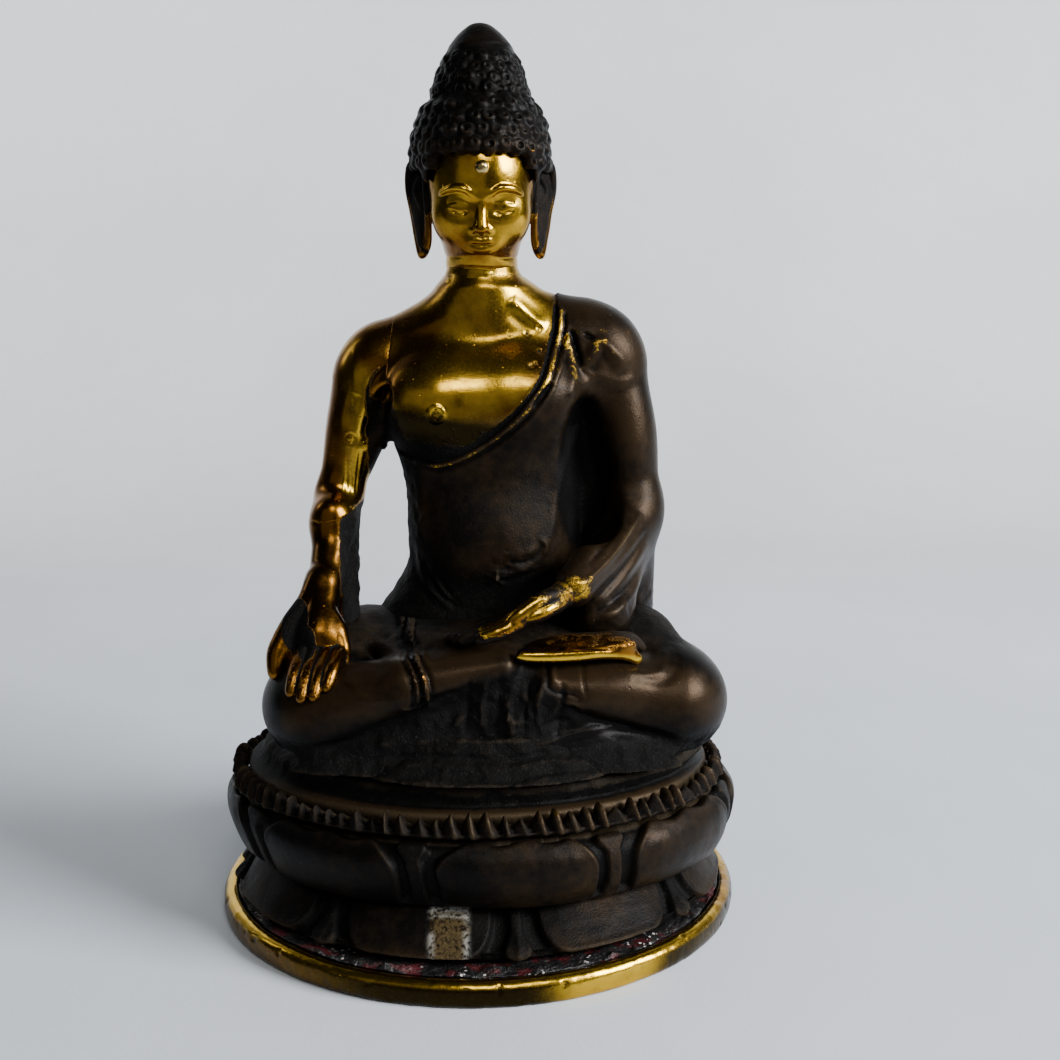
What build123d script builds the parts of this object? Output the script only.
"""A small cast-brass seated Buddha on a double lotus, as it comes apart on a bench. Millimetres.

+Z is up and the figure faces -Y, so its right arm is on the -X side. The origin is the centre of the
foot ring's underside. The pedestal is hollow and sealed from below; the figure is pinned to the seat.
"""

import math
import os

from build123d import *

# Driving dimensions.
HEIGHT = 127.0
RING_RADIUS = 38.0
RING_HEIGHT = 3.6
OVAL = 0.82  # depth over width of the seat and stamens, which are oval on a round ring
WALL = 2.0
PETALS = 8
STAMENS = 72
PIN_RADIUS = 1.5
AXIS_X = 1.0  # the figure sits a little to its left on the pedestal

# Heights of the pedestal's levels.
WAIST_Z = 9.6
LOTUS_TOP_Z = 20.2
STAMEN_TOP_Z = 23.0
SEAT_TOP_Z = 26.0

# Half-widths and half-depths of the lotus at those levels.
LOWER_FOOT_RX = 36.4
LOWER_FOOT_RY = 32.4
WAIST_RX = 33.2
WAIST_RY = 28.2
UPPER_RX = 37.5
UPPER_RY = 31.4
STAMEN_RX = 36.4
SEAT_RX = 33.4

# The figure's joint levels and its landmarks.
LAP_JOINT_Z = 43.0
ELBOW_Z = 60.0
NECK_JOINT_Z = 91.0
HAIRLINE_Z = 109.6
CROWN_Z = 116.8
SHOULDER_JOINT_X = -13.4

RIGHT_SHOULDER = Vector(-15.1, 2.0, 80.1)
RIGHT_ELBOW = Vector(-19.8, 0.5, ELBOW_Z)
RIGHT_WRIST = Vector(-21.6, -9.0, 48.6)
LEFT_SHOULDER = Vector(17.7, 2.0, 81.9)
LEFT_ELBOW = Vector(21.6, 0.0, 57.0)
LEFT_WRIST = Vector(12.2, -17.6, 49.4)
RIGHT_KNEE = Vector(-22.4, -14.6, 34.4)
LEFT_KNEE = Vector(26.8, -13.6, 34.4)
RIGHT_ANKLE = Vector(2.6, -23.0, 40.4)
LEFT_ANKLE = Vector(8.4, -22.0, 35.8)
HEAD_CENTRE = Vector(AXIS_X, -0.4, 103.8)
HEAD_TILT = 8.0  # degrees, looking down

BURIED_NECK = 5.5  # how far the neck's dowel goes into the head and into the torso


def oval_loft(sections):
    """A solid through ovals, each (height, half-width, half-depth, centre x, centre y)."""
    with BuildPart() as body:
        for height, half_width, half_depth, centre_x, centre_y in sections:
            with BuildSketch(Plane.XY.offset(height)):
                with Locations((centre_x, centre_y)):
                    Ellipse(half_width, half_depth)
        loft()
    return body.part


def round_cone(start, start_radius, end, end_radius):
    """A limb: two spheres and the cone that is tangent to both."""
    along = (end - start).normalized()
    length = (end - start).length
    lean = math.asin((start_radius - end_radius) / length)
    across = Plane(origin=start, z_dir=along).x_dir
    profile_plane = Plane(origin=start, x_dir=across, z_dir=across.cross(along))

    def at(radius, angle, lift=0.0):
        return (radius * math.cos(angle), lift + radius * math.sin(angle))

    pole = math.pi / 2
    with BuildPart() as limb:
        with BuildSketch(profile_plane):
            with BuildLine():
                ThreePointArc(at(start_radius, -pole), at(start_radius, (lean - pole) / 2), at(start_radius, lean))
                Line(at(start_radius, lean), at(end_radius, lean, length))
                ThreePointArc(
                    at(end_radius, lean, length),
                    at(end_radius, (lean + pole) / 2, length),
                    at(end_radius, pole, length),
                )
                Line(at(end_radius, pole, length), at(start_radius, -pole))
            make_face()
        revolve(axis=Axis(start, along))
    return limb.part


def ellipsoid(centre, half_sizes, rotation=(0, 0, 0)):
    """An ellipsoid, turned about its own centre and then placed."""
    with BuildPart() as ball:
        Sphere(1.0)
        scale(by=half_sizes)
    return Location(centre, rotation) * ball.part


def dome(centre, radius, half_height):
    """A full ellipsoid of revolution about a vertical axis."""
    with BuildPart() as ball:
        with BuildSketch(Plane.XZ):
            Ellipse(radius, half_height)
            with Locations((-radius, 0)):
                Rectangle(2 * radius, 4 * half_height, mode=Mode.SUBTRACT)
        revolve(axis=Axis.Z)
    return Location(centre) * ball.part


def dowel(start, end, radius):
    with BuildPart() as pin:
        with BuildSketch(Plane(origin=start, z_dir=end - start)):
            Circle(radius)
        extrude(amount=(end - start).length)
    return pin.part


def box_between(low, high):
    with BuildPart() as block:
        with Locations(tuple((a + b) / 2 for a, b in zip(low, high))):
            Box(*(b - a for a, b in zip(low, high)))
    return block.part


def oval_place(half_width, half_depth, share):
    """The point and outward angle at a share of the way round an oval, starting at its front, by arc length."""
    steps = 720
    points = []
    for i in range(steps + 1):
        angle = -math.pi / 2 + 2 * math.pi * i / steps
        points.append(Vector(half_width * math.cos(angle), half_depth * math.sin(angle), 0))
    lengths = [0.0]
    for a, b in zip(points, points[1:]):
        lengths.append(lengths[-1] + (b - a).length)
    wanted = (share % 1.0) * lengths[-1]
    i = next(k for k, length in enumerate(lengths) if length >= wanted)
    normal = Vector(points[i].X / half_width**2, points[i].Y / half_depth**2, 0).normalized()
    return points[i], normal


def petal_ring(envelope, half_sizes, middle_z, petal_size, leaf_size, phase):
    """Broad petals with a narrow leaf between each two, standing proud of the lotus as far as the envelope."""
    corner = 0.42
    reach = 5.0
    with BuildPart() as petals:
        for i in range(PETALS):
            for size, shift in ((petal_size, 0.0), (leaf_size, 0.5)):
                share = (i + shift + phase) / PETALS
                point, normal = oval_place(*half_sizes, share)
                middle = point + Vector(0, 0, middle_z)
                face = Plane(origin=middle, x_dir=Vector(0, 0, 1).cross(normal), z_dir=normal)
                with BuildSketch(face):
                    RectangleRounded(*size, corner * min(size))
                extrude(amount=reach, both=True)
        add(envelope, mode=Mode.INTERSECT)
    return petals.part


os.makedirs("parts", exist_ok=True)


def keep(piece, name):
    """Labels a finished piece and writes it to its own STEP file."""
    piece.label = name
    export_step(piece, f"parts/{name}.step")


# --- The foot: a polished ring, the sheet that closes it, and the wax that seals both.

PLATE_RADIUS = 34.6
PLATE_THICKNESS = 0.7
PLATE_Z = 0.5
RING_BORE_RX = 31.0
RING_EDGE_FILLET = 1.5

with BuildPart() as foot_ring:
    with BuildSketch():
        Circle(RING_RADIUS)
    extrude(amount=RING_HEIGHT)
    fillet(foot_ring.edges().filter_by(GeomType.CIRCLE), RING_EDGE_FILLET)
    with BuildSketch():
        Ellipse(RING_BORE_RX, OVAL * RING_BORE_RX)
    extrude(amount=RING_HEIGHT, mode=Mode.SUBTRACT)
    with BuildSketch():
        Circle(PLATE_RADIUS)
    extrude(amount=PLATE_Z + PLATE_THICKNESS, mode=Mode.SUBTRACT)

with BuildPart() as bottom_plate:
    with BuildSketch(Plane.XY.offset(PLATE_Z)):
        Circle(PLATE_RADIUS)
    extrude(amount=PLATE_THICKNESS)
keep(bottom_plate.part, "bottom_plate")

with BuildPart() as plate_wax:
    bead = 0.4
    with BuildSketch(Plane.XZ):
        with BuildLine():
            Polyline(
                (PLATE_RADIUS - 2.2, PLATE_Z),
                (PLATE_RADIUS, PLATE_Z),
                (PLATE_RADIUS, PLATE_Z - bead),
                (PLATE_RADIUS - 0.8, PLATE_Z - bead),
                close=True,
            )
        make_face()
    revolve(axis=Axis.Z)
keep(plate_wax.part, "plate_wax")

# --- The double lotus, cast hollow in two tiers.

LOWER_Z = RING_HEIGHT
PROUD = 1.1


def tier(levels, grow=0.0):
    """The lotus's oval body through (height, half-width, half-depth) levels."""
    return oval_loft([(z, rx + grow, ry + grow, 0.0, 0.0) for z, rx, ry in levels])


waist_level = (WAIST_Z, WAIST_RX - PROUD, WAIST_RY - PROUD)
lower_levels = [(LOWER_Z, LOWER_FOOT_RX - PROUD, LOWER_FOOT_RY - PROUD), (6.6, 33.6, 29.4), waist_level]
lower_core = tier(lower_levels)
lower_bore = tier(lower_levels, -WALL)
lower_sizes = (LOWER_FOOT_RX, LOWER_FOOT_RY)
lower_petals = petal_ring(tier(lower_levels, PROUD), lower_sizes, 6.7, (20.8, 4.9), (4.6, 5.2), 0.684)

with BuildPart() as lotus_lower:
    add(lower_core)
    add(lower_petals)
    add(lower_bore, mode=Mode.SUBTRACT)
keep(lotus_lower.part, "lotus_lower")

upper_levels = [
    waist_level,
    (13.4, 35.1, 29.6),
    (17.6, UPPER_RX - PROUD, UPPER_RY - PROUD),
    (LOTUS_TOP_Z, 35.8, 29.8),
]
upper_core = tier(upper_levels)
upper_bore = tier(upper_levels, -WALL)
upper_petals = petal_ring(tier(upper_levels, PROUD), (UPPER_RX, UPPER_RY), 15.0, (21.4, 8.8), (4.3, 9.4), 0.172)

with BuildPart() as lotus_upper:
    add(upper_core)
    add(upper_petals)
    add(upper_bore, mode=Mode.SUBTRACT)
keep(lotus_upper.part, "lotus_upper")

# The wax sits in a groove cut in the ring's top, round the foot of the lotus.
WAX_DEPTH = 0.6
WAX_LIP = 1.0
WAX_WIDTH = 2.6

with BuildPart() as groove_wax:
    with BuildSketch(Plane.XY.offset(RING_HEIGHT - WAX_DEPTH)):
        Ellipse(RING_RADIUS - WAX_LIP, LOWER_FOOT_RY + WAX_WIDTH)
        Ellipse(LOWER_FOOT_RX - PROUD, LOWER_FOOT_RY - PROUD, mode=Mode.SUBTRACT)
    extrude(amount=WAX_DEPTH)
keep(groove_wax.part, "groove_wax")

with BuildPart() as grooved_ring:
    add(foot_ring.part)
    add(groove_wax.part, mode=Mode.SUBTRACT)
keep(grooved_ring.part, "foot_ring")

# --- The row of stamens round the seat, and the seat itself.

TOOTH_DEPTH = 1.1


def toothed_outline(half_width):
    """An oval with one blunt tooth for each stamen."""
    corners = []
    for i in range(STAMENS):
        for shift, inset in ((0.0, TOOTH_DEPTH), (0.3, 0.0), (0.7, 0.0)):
            angle = 2 * math.pi * (i + shift) / STAMENS
            corners.append(
                ((half_width - inset) * math.cos(angle), (OVAL * half_width - inset) * math.sin(angle))
            )
    return corners


with BuildPart() as stamen_ring:
    with BuildSketch(Plane.XY.offset(LOTUS_TOP_Z)):
        with BuildLine():
            Polyline(*toothed_outline(STAMEN_RX), close=True)
        make_face()
        Ellipse(SEAT_RX, OVAL * SEAT_RX, mode=Mode.SUBTRACT)
    extrude(amount=STAMEN_TOP_Z - LOTUS_TOP_Z)
keep(stamen_ring.part, "stamen_ring")

PIN_X = 13.2
CORE_HOLE_RADIUS = 5.0
PIN_HEAD_RADIUS = 2.8
PIN_HEAD_HEIGHT = 1.0
SEAT_UNDER_Z = 18.4

with BuildPart() as seat_slab:
    with BuildSketch(Plane.XY.offset(LOTUS_TOP_Z)):
        Ellipse(SEAT_RX, OVAL * SEAT_RX)
    extrude(amount=SEAT_TOP_Z - LOTUS_TOP_Z)
    fillet(seat_slab.edges().group_by(Axis.Z)[-1], 2.4)
    with BuildSketch(Plane.XY.offset(SEAT_UNDER_Z)):
        Ellipse(SEAT_RX - WALL, OVAL * SEAT_RX - WALL)
    extrude(amount=LOTUS_TOP_Z - SEAT_UNDER_Z)
    with Locations((AXIS_X, 0, 0)):
        Hole(CORE_HOLE_RADIUS, depth=HEIGHT)
        with Locations((-PIN_X, 0), (PIN_X, 0)):
            Hole(PIN_RADIUS, depth=HEIGHT)
    add(lotus_upper.part, mode=Mode.SUBTRACT)
keep(seat_slab.part, "seat_slab")

# --- The crossed legs, hollow under the lap, with bosses for the two pins.

FOOT_OF_LEGS_Z = SEAT_TOP_Z
BOSS_TOP_Z = 38.0
PIN_TOP_Z = 34.0
BOSS_RADIUS = 3.4


def above(height):
    return box_between((-60, -60, height), (60, 60, 200))


def below(height):
    return box_between((-60, -60, -20), (60, 60, height))


LEGS_X = 1.5
lap_levels = [
    (FOOT_OF_LEGS_Z, 22.0, 17.0, LEGS_X, -2.0),
    (33.0, 22.5, 17.5, LEGS_X, -2.5),
    (39.0, 19.5, 15.5, LEGS_X, -2.5),
    (LAP_JOINT_Z, 15.5, 11.5, LEGS_X, 0.5),
]
lap_bore_levels = [
    (FOOT_OF_LEGS_Z - 1, 16.5, 12.5, LEGS_X, -1.0),
    (33.0, 16.5, 12.5, LEGS_X, -1.0),
    (39.0, 12.5, 10.0, LEGS_X, 0.0),
    (LAP_JOINT_Z + 1, 8.4, 6.4, LEGS_X, 0.8),
]

with BuildPart() as crossed_legs:
    add(oval_loft(lap_levels))
    add(round_cone(Vector(-9, 4, 36), 8.6, RIGHT_KNEE, 7.4))
    add(round_cone(Vector(11, 4, 36), 8.6, LEFT_KNEE, 7.3))
    add(round_cone(Vector(-21.5, -17.0, 33.6), 6.1, RIGHT_ANKLE, 2.4))
    add(round_cone(Vector(26.0, -16.0, 33.6), 6.2, LEFT_ANKLE, 2.8))
    add(below(FOOT_OF_LEGS_Z), mode=Mode.SUBTRACT)
    add(above(LAP_JOINT_Z), mode=Mode.SUBTRACT)
    add(oval_loft(lap_bore_levels), mode=Mode.SUBTRACT)
    for side in (-1, 1):
        boss_foot = Vector(AXIS_X + side * PIN_X, 0, FOOT_OF_LEGS_Z)
        boss_top = Vector(AXIS_X + side * PIN_X, 0, BOSS_TOP_Z)
        pin_top = Vector(AXIS_X + side * PIN_X, 0, PIN_TOP_Z)
        add(dowel(boss_foot, boss_top, BOSS_RADIUS))
        add(dowel(boss_foot, pin_top, PIN_RADIUS), mode=Mode.SUBTRACT)

with BuildPart() as tang_pins:
    for side in (-1, 1):
        x = AXIS_X + side * PIN_X
        head_z = SEAT_UNDER_Z - PIN_HEAD_HEIGHT
        add(dowel(Vector(x, 0, head_z), Vector(x, 0, SEAT_UNDER_Z), PIN_HEAD_RADIUS))
        add(dowel(Vector(x, 0, SEAT_UNDER_Z), Vector(x, 0, PIN_TOP_Z), PIN_RADIUS))
keep(tang_pins.part, "tang_pins")

# The upturned right foot, lying sole up across the left thigh.
FOOT_LENGTH = 18.0
FOOT_WIDTH = 6.6
FOOT_THICKNESS = 3.2
foot_plane = Plane(origin=(13.2, -20.0, 39.6)).rotated((-8, 3, 15))

with BuildPart() as right_foot:
    with BuildSketch(foot_plane):
        SlotOverall(FOOT_LENGTH, FOOT_WIDTH)
    extrude(amount=FOOT_THICKNESS)
    fillet(right_foot.faces().sort_by(Axis(foot_plane.origin, foot_plane.z_dir))[-1].edges(), 0.9)

with BuildPart() as legs_under_foot:
    add(crossed_legs.part)
    add(right_foot.part, mode=Mode.SUBTRACT)

# The hem of the robe, fanned out on the seat in front of the shins, with a gathered fold above it.
with BuildPart() as robe_fan:
    with BuildSketch(Plane.XY.offset(FOOT_OF_LEGS_Z)):
        with Locations((AXIS_X + 2.0, -12.0)):
            Ellipse(16.0, 12.6)
    extrude(amount=1.3)
    add(round_cone(Vector(5.0, -16.0, 32.0), 4.6, Vector(4.6, -21.6, 28.2), 2.6))
    add(crossed_legs.part, mode=Mode.SUBTRACT)
    add(below(FOOT_OF_LEGS_Z), mode=Mode.SUBTRACT)
    add(oval_loft(lap_bore_levels), mode=Mode.SUBTRACT)

# --- The torso with the robed left arm, hollow to the neck.

torso_levels = [
    (LAP_JOINT_Z, 13.6, 10.4, 2.0, 1.0),
    (50.0, 11.6, 9.0, 2.2, 1.2),
    (60.0, 11.8, 9.0, 2.2, 1.2),
    (68.0, 13.4, 9.8, 1.4, 0.8),
    (76.0, 15.0, 10.6, 1.0, 0.4),
    (82.0, 14.4, 9.4, 1.0, 1.0),
    (87.0, 9.8, 7.2, 1.0, 1.5),
    (NECK_JOINT_Z, 6.2, 6.0, 1.0, 1.4),
]
torso_bore_levels = [
    (LAP_JOINT_Z - 1, 8.4, 6.4, LEGS_X, 0.8),
    (50.0, 8.2, 6.2, LEGS_X, 1.2),
    (60.0, 8.2, 6.2, LEGS_X, 1.2),
    (75.0, 10.4, 7.4, 1.0, 0.8),
    (82.0, 7.0, 5.6, 1.0, 1.2),
]
HEM_PROUD = 0.9
HEM_WIDTH = 2.0
DOWEL_RADIUS = 1.2
NECK_DOWEL_RADIUS = 2.0
neck_foot = Vector(AXIS_X, 1.2, NECK_JOINT_Z - BURIED_NECK)
neck_top = Vector(AXIS_X, 1.2, NECK_JOINT_Z + BURIED_NECK)
shoulder_in = Vector(SHOULDER_JOINT_X + 3.0, 2.0, 79.0)
shoulder_out = Vector(SHOULDER_JOINT_X - 4.0, 2.0, 79.0)
wrist_dir = (Vector(1.5, -22.6, 45.6) - LEFT_WRIST).normalized()
wrist_in = LEFT_WRIST - wrist_dir * 3.0
wrist_out = LEFT_WRIST + wrist_dir * 3.0
left_of_shoulder = box_between((-60, -60, 45), (SHOULDER_JOINT_X, 60, 100))
wrist_cut = Plane(origin=LEFT_WRIST, z_dir=wrist_dir)

with BuildPart() as beyond_wrist:
    with BuildSketch(wrist_cut):
        Rectangle(14, 14)
    extrude(amount=20)

# The robe's hem crosses the chest from the left of the neck to below the right armpit.
hem_plane = Plane(origin=(0.5, -10.0, 69.5), z_dir=(-0.583, -1.87, 1.0))

with BuildPart() as chest_hem:
    with BuildSketch(hem_plane):
        Rectangle(80, 80)
    extrude(amount=HEM_WIDTH)
    chest = [(z, rx + HEM_PROUD, ry + HEM_PROUD, x, y) for z, rx, ry, x, y in torso_levels]
    add(oval_loft(chest), mode=Mode.INTERSECT)
    add(box_between((-20, -20, 60), (14, -2.0, 90)), mode=Mode.INTERSECT)

with BuildPart() as sleeve_web:
    with BuildSketch(Plane.XZ.offset(-2.6)):
        with BuildLine():
            Polyline((6, LAP_JOINT_Z), (20, LAP_JOINT_Z), (20, 60), (17, 80), (6, 80), close=True)
        make_face()
    extrude(amount=-3.6)

with BuildPart() as torso:
    add(oval_loft(torso_levels))
    add(round_cone(Vector(-3.0, 2.0, 85.8), 5.0, Vector(-15.6, 2.0, 81.0), 5.4))
    add(round_cone(Vector(5.0, 1.6, 86.2), 4.8, LEFT_SHOULDER + Vector(-0.6, 0.3, 0.3), 6.2))
    add(round_cone(LEFT_SHOULDER, 6.5, LEFT_ELBOW, 5.4))
    add(round_cone(LEFT_ELBOW, 5.2, LEFT_WRIST, 2.9))
    add(round_cone(Vector(20.0, 0.5, 56.0), 5.2, Vector(18.5, -1.0, 44.0), 6.6))
    add(sleeve_web.part)
    add(chest_hem.part)
    add(oval_loft(torso_bore_levels), mode=Mode.SUBTRACT)
    add(crossed_legs.part, mode=Mode.SUBTRACT)
    add(below(LAP_JOINT_Z), mode=Mode.SUBTRACT)
    add(above(NECK_JOINT_Z), mode=Mode.SUBTRACT)
    add(left_of_shoulder, mode=Mode.SUBTRACT)
    add(beyond_wrist.part, mode=Mode.SUBTRACT)
    add(dowel(neck_foot, neck_top, NECK_DOWEL_RADIUS), mode=Mode.SUBTRACT)
    add(dowel(shoulder_in, shoulder_out, DOWEL_RADIUS), mode=Mode.SUBTRACT)
    add(dowel(wrist_in, wrist_out, DOWEL_RADIUS), mode=Mode.SUBTRACT)
keep(torso.part, "torso")

# --- The bare right arm, joined at the shoulder and again at the elbow, and the left hand.

elbow_up = (RIGHT_SHOULDER - RIGHT_ELBOW).normalized()
elbow_in = RIGHT_ELBOW + elbow_up * 4.0
elbow_out = RIGHT_ELBOW - elbow_up * 1.6

with BuildPart() as right_upper_arm:
    add(round_cone(RIGHT_SHOULDER, 5.8, RIGHT_ELBOW, 3.9))
    add(box_between((SHOULDER_JOINT_X, -60, 45), (60, 60, 100)), mode=Mode.SUBTRACT)
    add(below(ELBOW_Z), mode=Mode.SUBTRACT)
    add(dowel(shoulder_in, shoulder_out, DOWEL_RADIUS), mode=Mode.SUBTRACT)
    add(dowel(elbow_in, elbow_out, DOWEL_RADIUS), mode=Mode.SUBTRACT)
keep(right_upper_arm.part, "right_upper_arm")

PALM = Vector(-23.6, -14.2, 42.6)
LAST_FINGER_TIP = Vector(-25.2, -22.6, 36.8)
FIRST_FINGER_TIP = Vector(-19.2, -22.8, 38.6)
KNUCKLE_RISE = Vector(0.3, 5.6, 3.4)

with BuildPart() as right_forearm:
    add(round_cone(RIGHT_ELBOW, 3.9, RIGHT_WRIST, 2.7))
    add(round_cone(RIGHT_WRIST, 2.7, PALM, 3.2))
    add(round_cone(RIGHT_WRIST + Vector(-1.4, -1.0, -1.0), 2.2, Vector(-26.4, -14.6, 41.6), 2.6))
    for i in range(4):
        tip = FIRST_FINGER_TIP + (LAST_FINGER_TIP - FIRST_FINGER_TIP) * (i / 3)
        add(round_cone(tip + KNUCKLE_RISE, 1.5, tip, 1.0))
    add(above(ELBOW_Z), mode=Mode.SUBTRACT)
    add(dowel(elbow_in, elbow_out, DOWEL_RADIUS), mode=Mode.SUBTRACT)
keep(right_forearm.part, "right_forearm")

# The hand lies on the knee, so the knee is cut to seat it.
with BuildPart() as legs:
    add(legs_under_foot.part)
    add(right_forearm.part, mode=Mode.SUBTRACT)
keep(legs.part, "legs")
keep(right_foot.part, "right_foot")
keep(robe_fan.part, "robe_fan")

with BuildPart() as left_hand:
    add(round_cone(LEFT_WRIST - wrist_dir * 4, 2.6, Vector(6.8, -20.4, 47.0), 2.4))
    add(round_cone(Vector(7.6, -20.4, 45.6), 2.0, Vector(3.0, -22.4, 44.2), 1.4))
    for i in range(4):
        knuckle = Vector(7.0 + 0.4 * i, -19.4 - 1.5 * i, 46.6 - 0.5 * i)
        tip = Vector(-0.4 + 1.0 * i, -20.8 - 1.3 * i, 43.6)
        add(round_cone(knuckle, 1.4, tip, 0.9))
    with BuildSketch(wrist_cut):
        Rectangle(20, 20)
    extrude(amount=-20, mode=Mode.SUBTRACT)
    add(dowel(wrist_in, wrist_out, DOWEL_RADIUS), mode=Mode.SUBTRACT)
    add(legs_under_foot.part, mode=Mode.SUBTRACT)
    add(right_foot.part, mode=Mode.SUBTRACT)
keep(left_hand.part, "left_hand")

# --- The head, with the hair and its crowning knot set over the skull. The face is a plain, calm one.

with BuildPart() as skull:
    add(ellipsoid(HEAD_CENTRE, (7.6, 8.6, 10.0), (HEAD_TILT, 0, 0)))
    add(dowel(Vector(AXIS_X, 1.4, NECK_JOINT_Z), Vector(AXIS_X, 1.4, 102.0), 5.5))
    add(round_cone(Vector(AXIS_X, -3.6, 97.6), 4.2, Vector(AXIS_X, -2.0, 102.0), 6.2))
    add(round_cone(Vector(AXIS_X, -8.4, 104.6), 0.5, Vector(AXIS_X, -9.0, 101.0), 1.0))
    for side in (-1, 1):
        ear_top = Vector(AXIS_X + side * 8.1, 1.6, 106.6)
        ear_lobe = Vector(AXIS_X + side * 7.6, 0.6, 96.4)
        add(round_cone(ear_top, 1.7, ear_lobe, 1.1))
        lid_in = Vector(AXIS_X + side * 1.9, -8.3, 103.4)
        lid_out = Vector(AXIS_X + side * 4.6, -6.9, 103.2)
        add(round_cone(lid_in, 0.7, lid_out, 0.5))
    add(round_cone(Vector(AXIS_X - 1.5, -8.0, 98.4), 0.5, Vector(AXIS_X, -8.5, 98.2), 0.75))
    add(round_cone(Vector(AXIS_X, -8.5, 98.2), 0.75, Vector(AXIS_X + 1.5, -8.0, 98.4), 0.5))

HAIR_CENTRE = Vector(AXIS_X, 1.2, 109.4)
HAIR_RADIUS = 10.1
HAIR_HALF_HEIGHT = 8.8
HAIR_SLOPE = 34.0  # degrees that the hairline falls from the brow to the nape
CURL_RADIUS = 1.0

with BuildPart() as under_hairline:
    with BuildSketch(Plane(origin=(AXIS_X, -7.6, HAIRLINE_Z)).rotated((-HAIR_SLOPE, 0, 0))):
        Rectangle(60, 60)
    extrude(amount=-40)


def curls(centre, half_width, half_depth, height, count, drop):
    """A ring of round curls; drop is how far the ring falls from front to back."""
    with BuildPart() as ring:
        for i in range(count):
            angle = 2 * math.pi * (i + 0.5) / count - math.pi / 2
            back = (math.sin(angle) + 1) / 2
            x = centre.X + half_width * math.cos(angle)
            y = centre.Y + half_depth * math.sin(angle)
            with Locations((x, y, height - drop * back)):
                Sphere(CURL_RADIUS)
    return ring.part


with BuildPart() as ushnisha:
    add(dome((AXIS_X, 2.4, CROWN_Z - 0.6), 7.0, HEIGHT - CROWN_Z + 0.6))
    add(below(CROWN_Z), mode=Mode.SUBTRACT)
    add(curls(Vector(AXIS_X, 2.4, 0), 6.6, 6.6, 119.2, 14, 0.0))
keep(ushnisha.part, "ushnisha")

with BuildPart() as hair_cap:
    add(dome(HAIR_CENTRE, HAIR_RADIUS, HAIR_HALF_HEIGHT))
    add(under_hairline.part, mode=Mode.SUBTRACT)
    add(above(CROWN_Z), mode=Mode.SUBTRACT)
    add(curls(HAIR_CENTRE, 9.3, 9.3, 111.4, 20, 4.0))
    add(skull.part, mode=Mode.SUBTRACT)
keep(hair_cap.part, "hair_cap")

STUD_RADIUS = 0.75

with BuildPart() as urna_stud:
    with Locations((AXIS_X, -8.2, 107.0)):
        Sphere(STUD_RADIUS)
keep(urna_stud.part, "urna_stud")

with BuildPart() as head:
    add(skull.part)
    add(above(CROWN_Z), mode=Mode.SUBTRACT)
    add(dowel(neck_foot, neck_top, NECK_DOWEL_RADIUS), mode=Mode.SUBTRACT)
    add(urna_stud.part, mode=Mode.SUBTRACT)
keep(head.part, "head")

# --- Dowels hidden in the joints.

with BuildPart() as neck_dowel:
    add(dowel(neck_foot, neck_top, NECK_DOWEL_RADIUS))
keep(neck_dowel.part, "neck_dowel")

with BuildPart() as arm_dowels:
    add(dowel(shoulder_in, shoulder_out, DOWEL_RADIUS))
    add(dowel(elbow_in, elbow_out, DOWEL_RADIUS))
    add(dowel(wrist_in, wrist_out, DOWEL_RADIUS))
keep(arm_dowels.part, "arm_dowels")

# --- What the sealed pedestal holds: a wooden life stick and rolled prayers tied with thread.

STICK_RADIUS = 1.6
ROLL_RADIUS = 3.6
ROLL_LENGTH = 12.5
ROLL_HOLE = 0.8
TIE_THICKNESS = 0.5
TIE_WIDTH = 1.2
ROLLS = 8
CONTENTS_Z = PLATE_Z + PLATE_THICKNESS + 0.2

with BuildPart() as life_stick:
    add(dowel(Vector(AXIS_X, 1.0, CONTENTS_Z), Vector(AXIS_X, 1.0, 76.0), STICK_RADIUS))
keep(life_stick.part, "life_stick")

roll_places = []
for i in range(ROLLS):
    point, normal = oval_place(20.5, 14.5, (i + 0.5) / ROLLS)
    roll_places.append((point.X, point.Y))

with BuildPart() as mantra_rolls:
    with BuildSketch(Plane.XY.offset(CONTENTS_Z)):
        with Locations(*roll_places):
            Circle(ROLL_RADIUS)
            Circle(ROLL_HOLE, mode=Mode.SUBTRACT)
    extrude(amount=ROLL_LENGTH)
keep(mantra_rolls.part, "mantra_rolls")

with BuildPart() as roll_ties:
    with BuildSketch(Plane.XY.offset(CONTENTS_Z + (ROLL_LENGTH - TIE_WIDTH) / 2)):
        with Locations(*roll_places):
            Circle(ROLL_RADIUS + TIE_THICKNESS)
            Circle(ROLL_RADIUS, mode=Mode.SUBTRACT)
    extrude(amount=TIE_WIDTH)
keep(roll_ties.part, "roll_ties")
